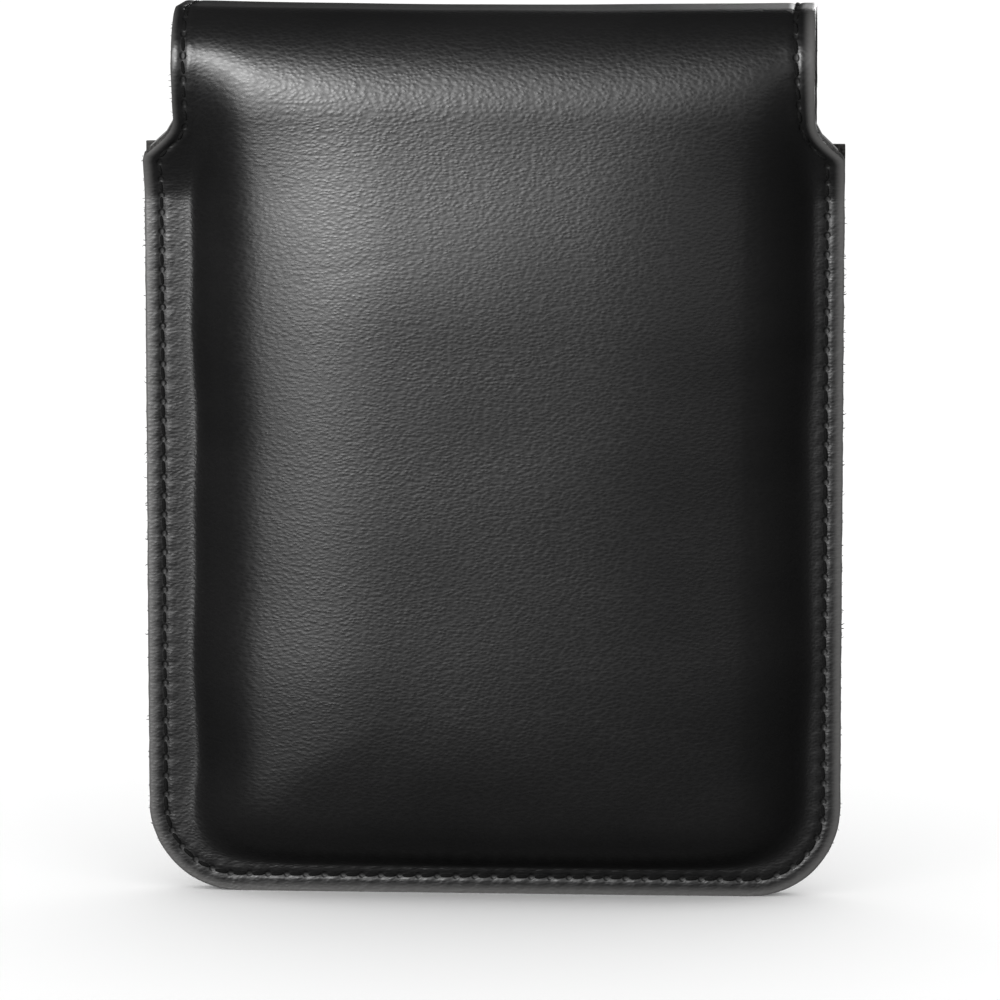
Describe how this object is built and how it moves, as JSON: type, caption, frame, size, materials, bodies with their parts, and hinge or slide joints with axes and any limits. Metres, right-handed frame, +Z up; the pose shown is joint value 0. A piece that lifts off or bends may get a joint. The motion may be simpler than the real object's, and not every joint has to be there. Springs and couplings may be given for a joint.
{
  "type": "pocket transistor radio in a leather case",
  "caption": "Pocket transistor radio standing in its closed black leather slip case, plain stitched back, strap folding over the top to a press-stud flap on the front.",
  "frame": {"origin": "bottom centre of the closed case, on the surface that it stands on", "axes": "+Z up the case, +X to the right as seen from the plain back, which faces -Y; the flap closes over the +Y side"},
  "size_m": [0.11, 0.0366, 0.1421],
  "materials": {
    "leather": "smooth black leather with a fine pebble grain, medium gloss",
    "lining": "thin black pile lining",
    "thread": "black waxed polyester thread",
    "nickel": "nickel plated brass",
    "cabinet": "moulded ivory polystyrene",
    "trim": "satin anodised sheet",
    "dark_plastic": "moulded black plastic",
    "battery_jacket": "printed steel jacket, no lettering",
    "circuit_board": "phenolic paper laminate",
    "tinplate": "tinned steel",
    "ferrite": "sintered ferrite",
    "copper": "lacquered copper wire",
    "paper": "pressed paper pulp",
    "steel": "zinc plated steel"
  },
  "bodies": {
    "case": {"case_back": "leather", "back_lining": "lining", "case_front": "leather", "front_lining": "lining", "seam_thread_back": "thread", "seam_thread_front": "thread", "snap_stud": "nickel", "snap_post": "nickel"},
    "flap_top": {"flap_top": "leather", "flap_top_lining": "lining", "flap_top_thread_left": "thread", "flap_top_thread_right": "thread"},
    "flap_end": {"flap_front": "leather", "flap_front_lining": "lining", "flap_front_thread": "thread", "snap_cap": "nickel", "snap_socket": "nickel"},
    "radio": {"front_shell": "cabinet", "back_shell": "cabinet", "battery_door": "cabinet", "shell_screw_1": "steel", "shell_screw_2": "steel", "speaker_grille": "trim", "dial_plate": "trim", "tuning_capacitor": "tinplate", "volume_control": "tinplate", "speaker_frame": "steel", "speaker_magnet": "ferrite", "battery": "battery_jacket", "battery_snap": "dark_plastic", "circuit_board": "circuit_board", "oscillator_coil": "tinplate", "if_can_1": "tinplate", "if_can_2": "tinplate", "if_can_3": "tinplate", "transistor_1": "tinplate", "transistor_2": "tinplate", "transistor_3": "tinplate", "transistor_4": "tinplate", "transistor_5": "tinplate", "transistor_6": "tinplate", "driver_transformer": "steel", "output_transformer": "steel", "electrolytic_1": "battery_jacket", "electrolytic_2": "battery_jacket", "electrolytic_3": "battery_jacket", "resistor_1": "circuit_board", "resistor_2": "circuit_board", "detector_diode": "ferrite", "ferrite_rod": "ferrite", "antenna_coil": "copper", "earphone_jack": "dark_plastic", "battery_lead_1": "copper", "battery_lead_2": "ferrite"},
    "tuning": {"tuning_knob": "dark_plastic", "knob_screw": "steel", "tuning_rotor": "tinplate"},
    "volume": {"volume_wheel": "dark_plastic"},
    "cone": {"speaker_cone": "paper"}
  },
  "joints": [
    {"name": "flap_fold", "type": "hinge", "parent": "case", "child": "flap_top", "pos_m": [0, -0.0166, 0.13204], "axis": [1, 0, 0], "range_deg": [0, 165]},
    {"name": "flap_unroll", "type": "hinge", "parent": "flap_top", "child": "flap_end", "pos_m": [0, 0.0183, 0.13105], "axis": [1, 0, 0], "range_deg": [0, 70]},
    {"name": "radio_slide", "type": "slide", "parent": "case", "child": "radio", "axis": [0, 0, 1], "range_m": [0, 0.0462]},
    {"name": "tuning_turn", "type": "hinge", "parent": "radio", "child": "tuning", "pos_m": [0.0175, 0.009, 0.1115], "axis": [0, 1, 0], "range_deg": [0, 180]},
    {"name": "volume_turn", "type": "hinge", "parent": "radio", "child": "volume", "pos_m": [-0.0305, -0.0001, 0.1085], "axis": [0, 1, 0], "range_deg": [0, 270]},
    {"name": "cone_travel", "type": "slide", "parent": "radio", "child": "cone", "axis": [0, 1, 0], "range_m": [-0.0004, 0.0004], "stiffness_N_per_m": 800}
  ],
  "couplings": [
    {"joint": "flap_unroll", "follows": "flap_fold", "ratio": 0.42},
    {"joint": "radio_slide", "follows": "flap_fold", "m_per_rad": 0.016}
  ]
}
